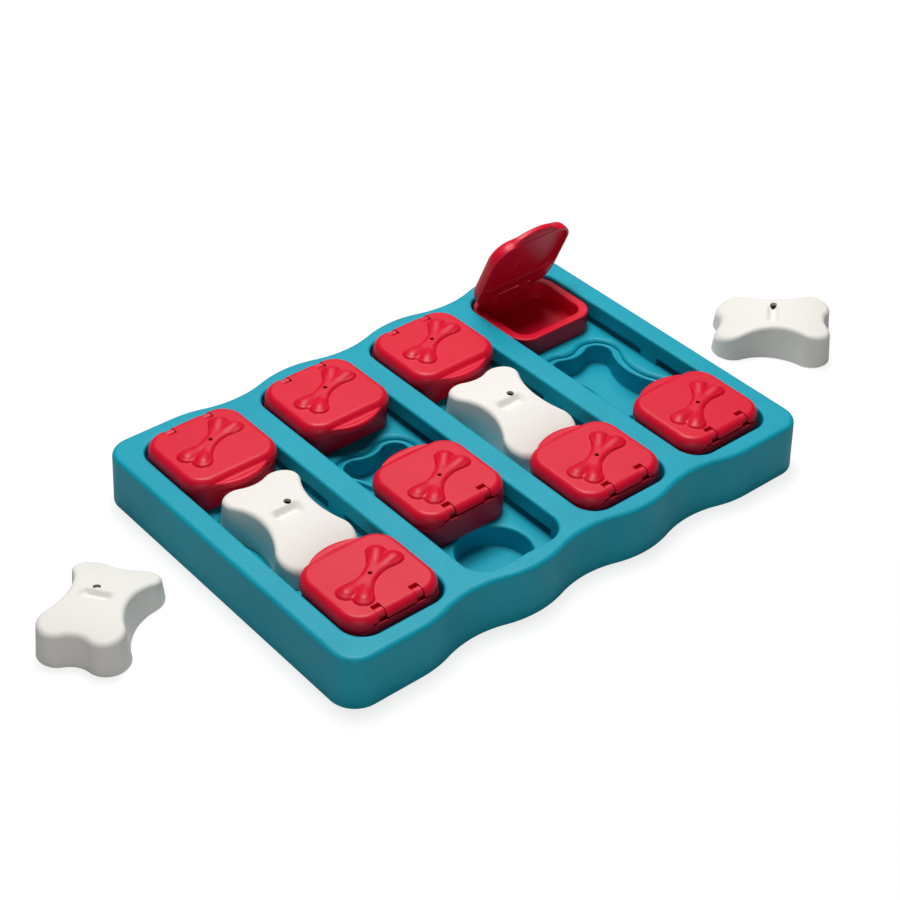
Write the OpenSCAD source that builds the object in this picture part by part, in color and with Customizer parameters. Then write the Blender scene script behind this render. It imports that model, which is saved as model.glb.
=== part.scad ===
// Puzzle feeder board for a dog: four straight channels, two lidded sliding boxes in each,
// a treat well under every box and a bone shaped well in the middle of every channel.
// Millimetres. X runs along the board, Y from front to back, Z up from the surface it lies on.

/* [Board] */
// Thickness of the wall between two channels
rail_width = 16; // [14:0.5:20]
// Thickness of the walls at the two short sides
side_wall = 15.35; // [12:0.05:20]
// Thickness of the walls at the two long sides, over the wave crests
end_wall = 12.95; // [11:0.05:18]
// Height above the surface
board_height = 33; // [28:0.5:40]
// Corner radius in plan
board_corner = 16; // [8:0.5:24]
// Depth of the waves in the two long edges
wave_depth = 6.2; // [0:0.1:8]

/* [Channels] */
// Gap between a box and the channel wall on each side
side_gap = 1; // [0.5:0.1:2]
// Length of a channel
channel_length = 201; // [190:0.5:204]
// Corner radius of a channel
channel_corner = 14; // [8:0.5:18]
// Height of the channel floor
floor_z = 18; // [16:0.5:20]
// Height of the guide slots in the channel walls
slot_height = 5.2; // [4:0.1:7]
// Depth of the guide slots
slot_depth = 4; // [2.5:0.1:5]
// Length of wall left solid in the middle of a channel
pillar_length = 13.6; // [10:0.1:20]

/* [Wells] */
// Height of the bottom of every well
well_z = 4.5; // [3:0.5:8]
// Radius of the round wells
well_radius = 21.5; // [18:0.5:23]
// Distance of the round wells' middles from the end of a channel
well_end = 23.5; // [23:0.1:26]
// Size of the bevel round the mouth of a round well
well_bevel = 1.3; // [0.5:0.1:2]
// Depth of the groove that a bone stands in
groove_depth = 3; // [2:0.1:4]
// Thickness of the raised edge round a bone well
bead_thickness = 2; // [1.2:0.1:3]

/* [Boxes] */
// Width of a box
box_width = 61; // [58:0.1:62]
// Depth of a box from its hinge side to its finger lip side
box_depth = 54; // [50:0.1:56]
// Corner radius of a box
box_corner = 13.5; // [8:0.5:16]
// Height of the tray rim above the surface
rim_z = 31; // [29:0.1:32]
// Width of the tray rim
rim_width = 6; // [4:0.1:8]
// Inner corner radius of a tray
tray_corner = 8; // [5:0.5:12]
// Thickness of the tray bottom
tray_floor = 2; // [1.5:0.1:3]
// Gap between a back box at rest and the end of its channel
end_gap = 1.6; // [1.3:0.1:5]
// Gap between a front box at rest and the end of its channel
front_gap = 3.3; // [3.1:0.1:6]
// Length of the guide tab on each side of a tray
tab_length = 24; // [16:0.5:32]
// Gap between a box slid inward and the middle of the board
middle_gap = 3.3; // [3:0.1:10]

/* [Lids] */
// Height of the underside of a lid
lid_z = 33; // [32:0.1:34]
// Height of the flat top of a lid
lid_top_z = 39.6; // [39.4:0.1:42]
// Depth of a lid from its hinge side to its straight edge
lid_depth = 56.5; // [54:0.1:58]
// Corner radius of a lid
lid_corner = 14.5; // [10:0.5:18]
// Rounding of the upper edge of a lid
lid_round = 4; // [2:0.1:5]
// Depth of the dish inside a lid
dish_depth = 3.4; // [2:0.1:3.8]
// Reach of the finger lip past the tray
lip_reach = 8.3; // [6:0.1:10]
// Half width of the finger lip where it meets the tray line
lip_half = 20.5; // [18:0.5:21]
// Thickness of the finger lip
lip_thickness = 3.6; // [2:0.1:5]
// Opening angle of a lid
lid_angle = 67; // [45:1:67]
// Height of the small bone moulded on the lid
relief_height = 1.3; // [0.5:0.1:2]
// Direction of that bone from the X axis
relief_angle = 26.5; // [0:0.5:45]
// Radius of the hole in the middle of a lid
lid_hole = 1.3; // [0.8:0.1:2]

/* [Hinges] */
// Distance of the hinge line from the outer face of a box
hinge_inset = 4.7; // [4:0.1:6]
// Height of the hinge line
hinge_z = 36.4; // [36:0.1:37]
// Distance of each hinge knuckle from the middle of the box
hinge_x = 12.2; // [10:0.1:16]
// Radius of the hinge pins
pin_radius = 1.1; // [0.8:0.05:1.3]
// Radial clearance of a pin in its knuckle
pin_clearance = 0.05; // [0.02:0.01:0.1]
// Radius of a knuckle
knuckle_radius = 2.2; // [1.8:0.1:2.3]
// Width of a knuckle
knuckle_width = 3.6; // [2.5:0.1:4.2]
// Width and depth of the window that a knuckle sits in
window_size = 5.2; // [4.8:0.1:6]

/* [Bones] */
// Half width over the lobes at the top
bone_half_width = 23.3; // [20:0.1:24]
// Gap between the lobes at the top and the finger lips of the boxes
bone_lip_gap = 2.2; // [1.5:0.1:4]
// Radius of a lobe at the top
bone_lobe = 10.2; // [8:0.1:12]
// Depth of the waist in each long side
bone_waist = 7; // [4:0.1:8]
// Depth of the hollow in each end
bone_end = 4.95; // [3:0.05:6]
// How far the foot of a bone stands out past its top
bone_flare = 2.2; // [1:0.1:3]
// Wall thickness of a bone
bone_wall = 1.4; // [1.2:0.1:2.5]
// Height of a bone in the middle
bone_height = 22.3; // [18:0.1:24]
// Radius of the crowned top
crown_radius = 100; // [80:1:160]
// Distance of the highest line of the crown from the middle
crown_shift = 11.6; // [0:0.1:14]
// Radius of the hole in a bone
bone_hole = 2.1; // [1.5:0.1:3]
// Distance of the left loose bone from the side of the board
left_gap = 58.85; // [40:0.05:80]
// Place of the left loose bone along Y
left_y = 21.1; // [-60:0.1:60]
// Direction of the left loose bone
left_turn = 126.3; // [-180:0.1:180]
// Distance of the right loose bone from the side of the board
right_gap = 79.05; // [60:0.05:100]
// Place of the right loose bone along Y
right_y = -15.6; // [-60:0.1:60]
// Direction of the right loose bone
right_turn = -137.8; // [-180:0.1:180]

/* [Hidden] */
$fn = 96;
arc_fn = 180;
faceted_fn = 32;
eps = 0.01;
slide_gap = 0.1;
free_gap = 0.3;
lap = 0.08;
crest_flat = 1;
channels = 4;
channel_width = box_width + 2 * side_gap;
pitch = channel_width + rail_width;
board_length = channels * channel_width + (channels - 1) * rail_width + 2 * side_wall;
board_width = channel_length + 2 * end_wall;
half_w = board_width / 2;
half_channel = channel_width / 2;
rail_end = channel_length / 2 - channel_corner;
well_y = channel_length / 2 - well_end;
box_y = channel_length / 2 - end_gap - box_depth / 2;
box_travel = box_y - box_depth / 2 - middle_gap;
front_travel = front_gap - end_gap;
bone_half_length = box_y - box_depth / 2 - lip_reach - bone_lip_gap;
wave_radius = (pow(pitch / 2, 2) + pow(wave_depth, 2)) / (4 * wave_depth);
tray_z = floor_z + slide_gap;
tab_top = floor_z + slot_height - free_gap;
tab_reach = half_channel + slot_depth - free_gap;
tab_start = box_y - box_travel - box_depth / 2;
tab_inset = pillar_length / 2 + free_gap / 2 - tab_start;
tab_root = box_width / 2 - rim_width;
hinge_y = box_depth / 2 - hinge_inset;
hinge_side_z = hinge_z - 1.5;
hinge_side_y = hinge_y - 5;
notch_z = hinge_z + 1.35;
ledge_z = rim_z + 1.3;
ledge_thickness = 1.2;
ledge_half = 24;
skirt_z = rim_z + 0.15;
skirt_inset = 1.5;
skirt_thickness = 2;
lid_wall = 3;
lip_radius = (pow(lip_half, 2) + pow(lip_reach, 2)) / (2 * lip_reach);
bone_gap = 0.4;
bead_outer = bone_flare - bone_wall - bone_gap;
bead_inner = bead_outer - bead_thickness;
groove_outer = bone_flare + 0.9;
groove_z = floor_z - groove_depth;
bone_z = groove_z + slide_gap;
crown_top = bone_height + crown_radius - sqrt(pow(crown_radius, 2) - pow(crown_shift, 2));
roof_thickness = 2;
grip_radius = 8;
grip_depth = 2.2;
grip_length = 21;
seated_marks = [[0, -1], [3.7, 5.8]];
left_place = [-board_length / 2 - left_gap, left_y, left_turn];
left_marks = [[1, 2.5], [3, -5.5]];
right_place = [board_length / 2 + right_gap, right_y, right_turn];
right_marks = [[-0.8, -0.7], [-8.6, -0.5]];
relief_size = [10.4, 23, 5.6, 6.1, 2];
bone_size = [bone_half_width, bone_half_length, bone_lobe, bone_waist, bone_end];

function channel_x(i) = (i - (channels + 1) / 2) * pitch;
function hollow_radius(span, r, depth) = (pow(r - depth, 2) + pow(span, 2) - pow(r, 2)) / (2 * depth);

// Rectangle with rounded corners, centred.
module rounded(w, d, r) {
    square([w - 2 * r, d], center = true);
    square([w, d - 2 * r], center = true);
    for (x = [-1, 1], y = [-1, 1])
        translate([x * (w / 2 - r), y * (d / 2 - r)]) circle(r);
}

// Outline of the board, with waves in its two long edges.
module board_outline() {
    quarter = pitch / 4;
    difference() {
        rounded(board_length, board_width, board_corner);
        for (side = [-1, 1]) {
            for (i = [1 : channels], k = [-1, 1])
                if (abs(channel_x(i) + k * quarter) < channel_x(channels))
                    translate([channel_x(i) + k * (quarter + crest_flat) / 2, side * half_w])
                        difference() {
                            square([quarter - crest_flat + 2 * eps, 2 * wave_depth], center = true);
                            translate([-k * (quarter + crest_flat) / 2, -side * wave_radius])
                                circle(wave_radius, $fn = arc_fn);
                        }
            for (i = [1 : channels - 1])
                translate([channel_x(i) + pitch / 2, side * (half_w - wave_depth + wave_radius)])
                    circle(wave_radius, $fn = arc_fn);
        }
    }
}

// Bone shaped block of height h, size being half width, half length, lobe radius, depth of the
// waist and depth of the hollow in each end. Four lobes are joined by four hollow arcs. The foot
// is grown by d, and the block draws in by draft up to its top.
module bone_block(size, d, h, draft = 0) {
    r = size[2];
    x = size[0] - r;
    y = size[1] - r;
    side_r = hollow_radius(y, r, size[3]);
    end_r = hollow_radius(x, r, size[4]);
    side_x = size[0] - size[3] + side_r;
    end_y = size[1] - size[4] + end_r;
    difference() {
        linear_extrude(h)
            polygon([[side_x, 0], [x, y], [0, end_y], [-x, y],
                     [-side_x, 0], [-x, -y], [0, -end_y], [x, -y]]);
        for (k = [-1, 1]) {
            translate([k * side_x, 0, 0])
                cylinder(h = h, r1 = side_r - d, r2 = side_r - d + draft, $fn = arc_fn);
            translate([0, k * end_y, 0])
                cylinder(h = h, r1 = end_r - d, r2 = end_r - d + draft);
        }
    }
    for (i = [-1, 1], j = [-1, 1]) translate([i * x, j * y, 0])
        cylinder(h = h, r1 = r + d + lap, r2 = r + d + lap - draft);
}

// Guide slots in the walls of a channel.
module slots() {
    for (side = [-1, 1])
        translate([-half_channel - slot_depth, side > 0 ? pillar_length / 2 : -rail_end, floor_z])
            cube([channel_width + 2 * slot_depth, rail_end - pillar_length / 2, slot_height]);
}

// Two round wells and a bone shaped one, with the groove round it, for one channel.
module wells() {
    for (side = [-1, 1])
        translate([0, side * well_y, well_z]) {
            cylinder(h = board_height, r = well_radius);
            translate([0, 0, floor_z - well_z - well_bevel])
                cylinder(h = well_bevel + eps, r1 = well_radius, r2 = well_radius + well_bevel);
        }
    translate([0, 0, well_z]) bone_block(bone_size, bead_inner, board_height);
    translate([0, 0, groove_z])
        difference() {
            bone_block(bone_size, groove_outer, board_height);
            bone_block(bone_size, bead_outer, board_height);
        }
}

// The board is one moulding, given as a bed under each channel, a rail at each side of it and
// the two long ends.
module board_bed(i) {
    color([0.03, 0.42, 0.52]) translate([channel_x(i), 0, 0]) difference() {
        translate([-half_channel, -channel_length / 2, 0])
            cube([channel_width, channel_length, floor_z]);
        wells();
    }
}

// Rail between channels i - 1 and i; rail 1 and the last one are the short sides.
module board_rail(i) {
    start = i == 1 ? -board_length / 2 : channel_x(i - 1) + half_channel;
    end = i > channels ? board_length / 2 : channel_x(i) - half_channel;
    color([0.03, 0.42, 0.52]) difference() {
        translate([start, -rail_end, 0]) cube([end - start, 2 * rail_end, board_height]);
        for (k = [1 : channels]) translate([channel_x(k), 0, 0]) slots();
    }
}

module board_end(side) {
    color([0.03, 0.42, 0.52]) difference() {
        linear_extrude(board_height) board_outline();
        translate([-board_length, side > 0 ? rail_end - board_width : -rail_end, -eps])
            cube([2 * board_length, board_width, board_height + 2 * eps]);
        for (i = [1 : channels]) translate([channel_x(i), 0, 0]) {
            translate([-half_channel, -channel_length / 2, -eps])
                cube([channel_width, channel_length, floor_z + eps]);
            translate([0, 0, floor_z - eps]) linear_extrude(board_height)
                rounded(channel_width, channel_length, channel_corner);
        }
    }
}

// One tray with its hinge side at +Y.
module tray_body() {
    difference() {
        union() {
            translate([0, 0, tray_z]) linear_extrude(rim_z - tray_z)
                rounded(box_width, box_depth, box_corner);
            for (k = [-1, 1]) translate([k > 0 ? tab_root : -tab_reach, -box_depth / 2 + tab_inset, tray_z])
                cube([tab_reach - tab_root, tab_length, tab_top - tray_z]);
            intersection() {
                translate([0, 0, rim_z - eps]) linear_extrude(ledge_z - rim_z + eps)
                    difference() {
                        rounded(box_width, box_depth, box_corner);
                        rounded(box_width - 2 * ledge_thickness, box_depth - 2 * ledge_thickness,
                                box_corner - ledge_thickness);
                    }
                translate([-ledge_half, hinge_side_y, rim_z - 1])
                    cube([2 * ledge_half, box_depth, ledge_z]);
            }
            for (k = [-1, 1]) translate([k * hinge_x - knuckle_width / 2, hinge_y, 0]) {
                translate([0, 0, hinge_z]) rotate([0, 90, 0])
                    cylinder(h = knuckle_width, r = knuckle_radius, $fn = 64);
                translate([0, -knuckle_radius, rim_z - 1])
                    cube([knuckle_width, 2 * knuckle_radius, hinge_z - rim_z + 1]);
            }
        }
        translate([0, 0, tray_z + tray_floor]) linear_extrude(rim_z)
            rounded(box_width - 2 * rim_width, box_depth - 2 * rim_width, tray_corner);
        for (k = [-1, 1]) translate([k * hinge_x - window_size / 2, hinge_y, hinge_z])
            rotate([0, 90, 0]) cylinder(h = window_size, r = pin_radius + pin_clearance, $fn = 48);
    }
}

// Rounded disc whose hull over four corners gives the lid its soft upper edge.
module lid_corner_post() {
    rotate_extrude($fn = 48)
        difference() {
            union() {
                square([lid_corner - lid_round, lid_top_z - lid_z]);
                square([lid_corner, lid_top_z - lid_z - lid_round]);
                translate([lid_corner - lid_round, lid_top_z - lid_z - lid_round])
                    circle(lid_round, $fn = faceted_fn);
            }
            translate([-lid_corner, 0]) square([lid_corner, lid_top_z]);
            translate([0, -lid_round]) square([lid_corner, lid_round]);
        }
}

// One closed lid with its hinge side at +Y.
module lid_body() {
    back = box_depth / 2;
    front = back - lid_depth;
    difference() {
        union() {
            hull() for (x = [-1, 1], y = [front + lid_corner, back - lid_corner])
                translate([x * (box_width / 2 - lid_corner), y, lid_z]) lid_corner_post();
            intersection() {
                translate([0, lip_radius - box_depth / 2 - lip_reach, lid_z])
                    cylinder(h = lip_thickness, r = lip_radius, $fn = arc_fn);
                translate([-lip_half, -box_depth / 2 - lip_reach - 1, lid_z])
                    cube([2 * lip_half, lip_reach + 4, lip_thickness]);
            }
            translate([0, 0, skirt_z]) linear_extrude(lid_z - skirt_z + 1)
                difference() {
                    rounded(box_width - 2 * skirt_inset, box_depth - 2 * skirt_inset,
                            box_corner - skirt_inset);
                    rounded(box_width - 2 * skirt_inset - 2 * skirt_thickness,
                            box_depth - 2 * skirt_inset - 2 * skirt_thickness,
                            box_corner - skirt_inset - skirt_thickness);
                }
            translate([0, 0, lid_top_z - 1]) rotate(relief_angle - 90)
                bone_block(relief_size, 0, relief_height + 1);
        }
        translate([0, (hinge_side_y - back) / 2 + lid_wall / 2, lid_z - eps])
            linear_extrude(dish_depth)
                rounded(box_width - 2 * (skirt_inset + skirt_thickness),
                        back + hinge_side_y - 2 * lid_wall, box_corner - lid_wall);
        translate([-box_width, hinge_side_y, 0])
            cube([2 * box_width, box_depth, hinge_side_z]);
        for (k = [-1, 1]) translate([k * hinge_x - window_size / 2, hinge_y - window_size / 2, 0]) {
            cube([window_size, window_size, lid_top_z + 1]);
            cube([window_size, box_depth, notch_z]);
        }
        cylinder(h = lid_top_z + relief_height + 1, r = lid_hole, $fn = 32);
    }
    for (k = [-1, 1]) translate([k * hinge_x - window_size / 2 - 0.5, hinge_y, hinge_z])
        rotate([0, 90, 0]) cylinder(h = window_size + 1, r = pin_radius, $fn = 48);
}

// Puts a box part in channel i, at the back (side 1) or the front (side -1), moved in by travel.
module in_channel(i, side, travel) {
    translate([channel_x(i), 0, 0]) rotate(side > 0 ? 0 : 180)
        translate([0, box_y - travel, 0]) children();
}

module tray(i, side, travel = 0) {
    color([0.62, 0.02, 0.06]) in_channel(i, side, travel) tray_body();
}

module lid(i, side, travel = 0, angle = 0) {
    color([0.72, 0.02, 0.06]) in_channel(i, side, travel)
        translate([0, hinge_y, hinge_z]) rotate([-angle, 0, 0])
            translate([0, -hinge_y, -hinge_z]) lid_body();
}

// Log along X whose upper surface is the crown, drop below it.
module crown(drop) {
    translate([-bone_half_length, crown_shift, crown_top - crown_radius]) rotate([0, 90, 0])
        cylinder(h = 2 * bone_half_length, r = crown_radius - drop, $fn = 360);
}

// Finger grip across the waist, grown by d.
module grip(place, d) {
    half = grip_length / 2 - sqrt(pow(grip_radius, 2) - pow(grip_radius - grip_depth, 2));
    translate([place[0], place[1], bone_height + grip_radius - grip_depth]) rotate([0, 90, 0]) {
        cylinder(h = 2 * half, r = grip_radius + d, center = true);
        for (k = [-1, 1]) translate([0, 0, k * half]) sphere(grip_radius + d + lap, $fn = 48);
    }
}

// A hollow bone standing on z = 0, its low end at -Y. marks holds the places of grip and hole.
module bone_body(marks) {
    difference() {
        intersection() {
            bone_block(bone_size, bone_flare, crown_top, bone_flare);
            crown(0);
        }
        difference() {
            intersection() {
                bone_block(bone_size, bone_flare - bone_wall, crown_top, bone_flare);
                crown(roof_thickness);
            }
            grip(marks[0], roof_thickness);
        }
        grip(marks[0], 0);
        translate([marks[1][0], marks[1][1], bone_height / 2])
            cylinder(h = bone_height, r = bone_hole, $fn = 48);
    }
}

module seated_bone(i) {
    color([0.86, 0.86, 0.83]) translate([channel_x(i), 0, bone_z]) bone_body(seated_marks);
}

module loose_bone(place, marks) {
    color([0.86, 0.86, 0.83]) translate([place[0], place[1], 0]) rotate(place[2])
        bone_body(marks);
}

module board_bed_1() board_bed(1);
module board_bed_2() board_bed(2);
module board_bed_3() board_bed(3);
module board_bed_4() board_bed(4);
module board_rail_1() board_rail(1);
module board_rail_2() board_rail(2);
module board_rail_3() board_rail(3);
module board_rail_4() board_rail(4);
module board_rail_5() board_rail(5);
module board_end_back() board_end(1);
module board_end_front() board_end(-1);
module tray_1_back() tray(1, 1);
module tray_1_front() tray(1, -1, front_travel);
module tray_2_back() tray(2, 1);
module tray_2_front() tray(2, -1, box_travel);
module tray_3_back() tray(3, 1);
module tray_3_front() tray(3, -1, front_travel);
module tray_4_back() tray(4, 1);
module tray_4_front() tray(4, -1, front_travel);
module lid_1_back() lid(1, 1);
module lid_1_front() lid(1, -1, front_travel);
module lid_2_back() lid(2, 1);
module lid_2_front() lid(2, -1, box_travel);
module lid_3_back() lid(3, 1);
module lid_3_front() lid(3, -1, front_travel);
module lid_4_back() lid(4, 1, 0, lid_angle);
module lid_4_front() lid(4, -1, front_travel);
module bone_1() seated_bone(1);
module bone_3() seated_bone(3);
module bone_loose_left() loose_bone(left_place, left_marks);
module bone_loose_right() loose_bone(right_place, right_marks);

board_bed_1();
board_bed_2();
board_bed_3();
board_bed_4();
board_rail_1();
board_rail_2();
board_rail_3();
board_rail_4();
board_rail_5();
board_end_back();
board_end_front();
tray_1_back();
tray_1_front();
tray_2_back();
tray_2_front();
tray_3_back();
tray_3_front();
tray_4_back();
tray_4_front();
lid_1_back();
lid_1_front();
lid_2_back();
lid_2_front();
lid_3_back();
lid_3_front();
lid_4_back();
lid_4_front();
bone_1();
bone_3();
bone_loose_left();
bone_loose_right();
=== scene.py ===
"""Looks of a puzzle feeder board for a dog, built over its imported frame.

The board has four channels with two lidded sliding boxes in each, and four bone shaped covers.
Shapes are given in millimetres and become metres as each mesh is made. X runs along the board,
Y from front to back, Z up from the surface that it lies on.
"""

import logging
import math
from dataclasses import dataclass, field
from enum import Enum
from typing import Any, Callable, Iterable, Sequence

import bmesh
import bpy
import numpy as np
from mathutils import Matrix, Vector

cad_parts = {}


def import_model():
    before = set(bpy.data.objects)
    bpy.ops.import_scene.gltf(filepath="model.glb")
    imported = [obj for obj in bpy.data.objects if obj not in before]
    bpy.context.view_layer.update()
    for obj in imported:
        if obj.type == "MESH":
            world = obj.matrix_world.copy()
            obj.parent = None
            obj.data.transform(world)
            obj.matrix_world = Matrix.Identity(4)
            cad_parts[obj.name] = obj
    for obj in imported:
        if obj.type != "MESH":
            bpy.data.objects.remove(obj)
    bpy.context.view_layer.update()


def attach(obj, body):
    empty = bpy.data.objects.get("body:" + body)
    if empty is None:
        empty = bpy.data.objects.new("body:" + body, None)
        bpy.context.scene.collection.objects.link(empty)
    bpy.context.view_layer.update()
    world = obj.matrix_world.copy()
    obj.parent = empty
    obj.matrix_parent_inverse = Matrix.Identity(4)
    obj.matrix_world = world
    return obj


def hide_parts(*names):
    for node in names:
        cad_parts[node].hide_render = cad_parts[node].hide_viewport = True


MM = 0.001
SAME = 1e-4  # millimetres; points nearer than this are one
PAST = 60.0  # millimetres; how far a cut goes past the box
LOG = logging.getLogger("feeder")
Profile = list[tuple[float, float]]
Ring = list[bmesh.types.BMVert]


# ---- outlines


@dataclass
class Outline:
    """A closed curve in the plane, counter-clockwise, that can be grown along its normals.

    Attributes:
        points: The curve's points, one row of x and y each.
        normals: The outward direction at each point.
        marks: A number from 0 to 1 at each point, for forms that only part of the curve has.
    """

    points: np.ndarray
    normals: np.ndarray
    marks: np.ndarray = field(default_factory=lambda: np.zeros(0))

    def at(self, grow: float = 0.0) -> np.ndarray:
        """Returns the points moved outward by grow."""
        return self.points + grow * self.normals

    def moved(self, x: float, y: float, turn: float = 0.0) -> "Outline":
        """Turns the outline about its origin and then moves it.

        Args:
            x: Distance along X.
            y: Distance along Y.
            turn: Angle in degrees, counter-clockwise.

        Returns:
            The outline in its new place.
        """
        c, s = math.cos(math.radians(turn)), math.sin(math.radians(turn))
        spin = np.array([[c, s], [-s, c]])
        return Outline(self.points @ spin + (x, y), self.normals @ spin, self.marks)

    @staticmethod
    def arc(x: float, y: float, radius: float, start: float, end: float, steps: int) -> "Outline":
        """Makes an open arc with outward normals.

        Args:
            x: Centre along X.
            y: Centre along Y.
            radius: Radius.
            start: First angle in degrees.
            end: Last angle in degrees.
            steps: Number of steps between them.

        Returns:
            The arc.
        """
        a = np.radians(np.linspace(start, end, steps + 1))
        n = np.stack([np.cos(a), np.sin(a)], axis=1)
        return Outline(n * radius + (x, y), n)

    @staticmethod
    def joined(parts: Sequence["Outline"]) -> "Outline":
        """Joins open parts into one closed curve and drops the points that they share.

        Args:
            parts: The parts, in order.

        Returns:
            The closed curve.
        """
        points = np.concatenate([p.points for p in parts])
        normals = np.concatenate([p.normals for p in parts])
        keep = np.linalg.norm(points - np.roll(points, 1, axis=0), axis=1) > 1e-6
        return Outline(points[keep], normals[keep])

    @staticmethod
    def circle(radius: float, steps: int = 96) -> "Outline":
        """Makes a circle round the origin."""
        whole = Outline.arc(0, 0, radius, 0, 360, steps)
        return Outline(whole.points[:-1], whole.normals[:-1])

    @staticmethod
    def rounded(width: float, depth: float, corner: float, steps: int = 14, side: float = 6.0) -> "Outline":
        """Makes a rectangle with rounded corners.

        Args:
            width: Size along X.
            depth: Size along Y.
            corner: Corner radius.
            steps: Steps in each corner.
            side: Longest step on a straight side.

        Returns:
            The outline, centred on the origin.
        """
        x, y = width / 2 - corner, depth / 2 - corner
        parts = []
        for i, (sx, sy) in enumerate(((1, 1), (-1, 1), (-1, -1), (1, -1))):
            parts.append(Outline.arc(sx * x, sy * y, corner, 90 * i, 90 * i + 90, steps))
            run = 2 * (x if i % 2 == 0 else y)
            count = max(1, math.ceil(run / side))
            last, normal = parts[-1].points[-1], parts[-1].normals[-1]
            along = np.array([-normal[1], normal[0]])
            stops = np.linspace(0, run, count + 1)[1:-1, None]
            parts.append(Outline(last + stops * along, np.repeat(normal[None], len(stops), axis=0)))
        return Outline.joined(parts)


@dataclass(frozen=True)
class BoneShape:
    """A bone in plan: four round lobes joined by four hollow arcs.

    Attributes:
        half_width: Half width over the lobes, along X.
        half_length: Half length over the lobes, along Y.
        lobe: Radius of a lobe.
        waist: Depth of the hollow in each long side.
        notch: Depth of the hollow in each end.
    """

    half_width: float
    half_length: float
    lobe: float
    waist: float
    notch: float

    def outline(self, steps: int = 14) -> Outline:
        """Makes the outline.

        Args:
            steps: Steps in each hollow; a lobe has twice as many.

        Returns:
            The outline, centred on the origin.
        """
        x, y = self.half_width - self.lobe, self.half_length - self.lobe
        side, end = self.hollow(y, self.waist), self.hollow(x, self.notch)
        side_x, end_y = self.half_width - self.waist + side, self.half_length - self.notch + end
        a, b = math.degrees(math.atan2(y, side_x - x)), math.degrees(math.atan2(end_y - y, x))
        arcs = [
            Outline.arc(side_x, 0, side, 180 + a, 180 - a, steps),
            Outline.arc(x, y, self.lobe, -a, 180 - b, 2 * steps),
            Outline.arc(0, end_y, end, 360 - b, 180 + b, steps),
            Outline.arc(-x, y, self.lobe, b, 180 + a, 2 * steps),
        ]
        for hollow in arcs[::2]:
            hollow.normals = -hollow.normals
        return Outline.joined(arcs + [arc.moved(0, 0, 180) for arc in arcs])

    def hollow(self, span: float, depth: float) -> float:
        """Returns the radius of the hollow arc between two lobes that are span from the middle."""
        return ((self.lobe - depth) ** 2 + span**2 - self.lobe**2) / (2 * depth)


COVER_PLAN = BoneShape(23.3, 34.4, 10.2, 7.0, 3.3)


def bend(grow: float, z: float, radius: float, start: float, end: float, steps: int = 5) -> Profile:
    """Makes the round part of a profile.

    Args:
        grow: Centre of the round, measured outward from the outline.
        z: Height of that centre.
        radius: Radius.
        start: First angle in degrees, 0 outward and 90 up.
        end: Last angle in degrees.
        steps: Number of steps.

    Returns:
        Pairs of outward distance and height.
    """
    angles = np.radians(np.linspace(start, end, steps + 1))
    return [(grow + radius * math.cos(a), z + radius * math.sin(a)) for a in angles]


def ease(x: np.ndarray) -> np.ndarray:
    """Returns a smooth step from 0 to 1 as x goes from 0 to 1."""
    t = np.clip(x, 0, 1)
    return t * t * (3 - 2 * t)


# ---- meshes


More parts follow.
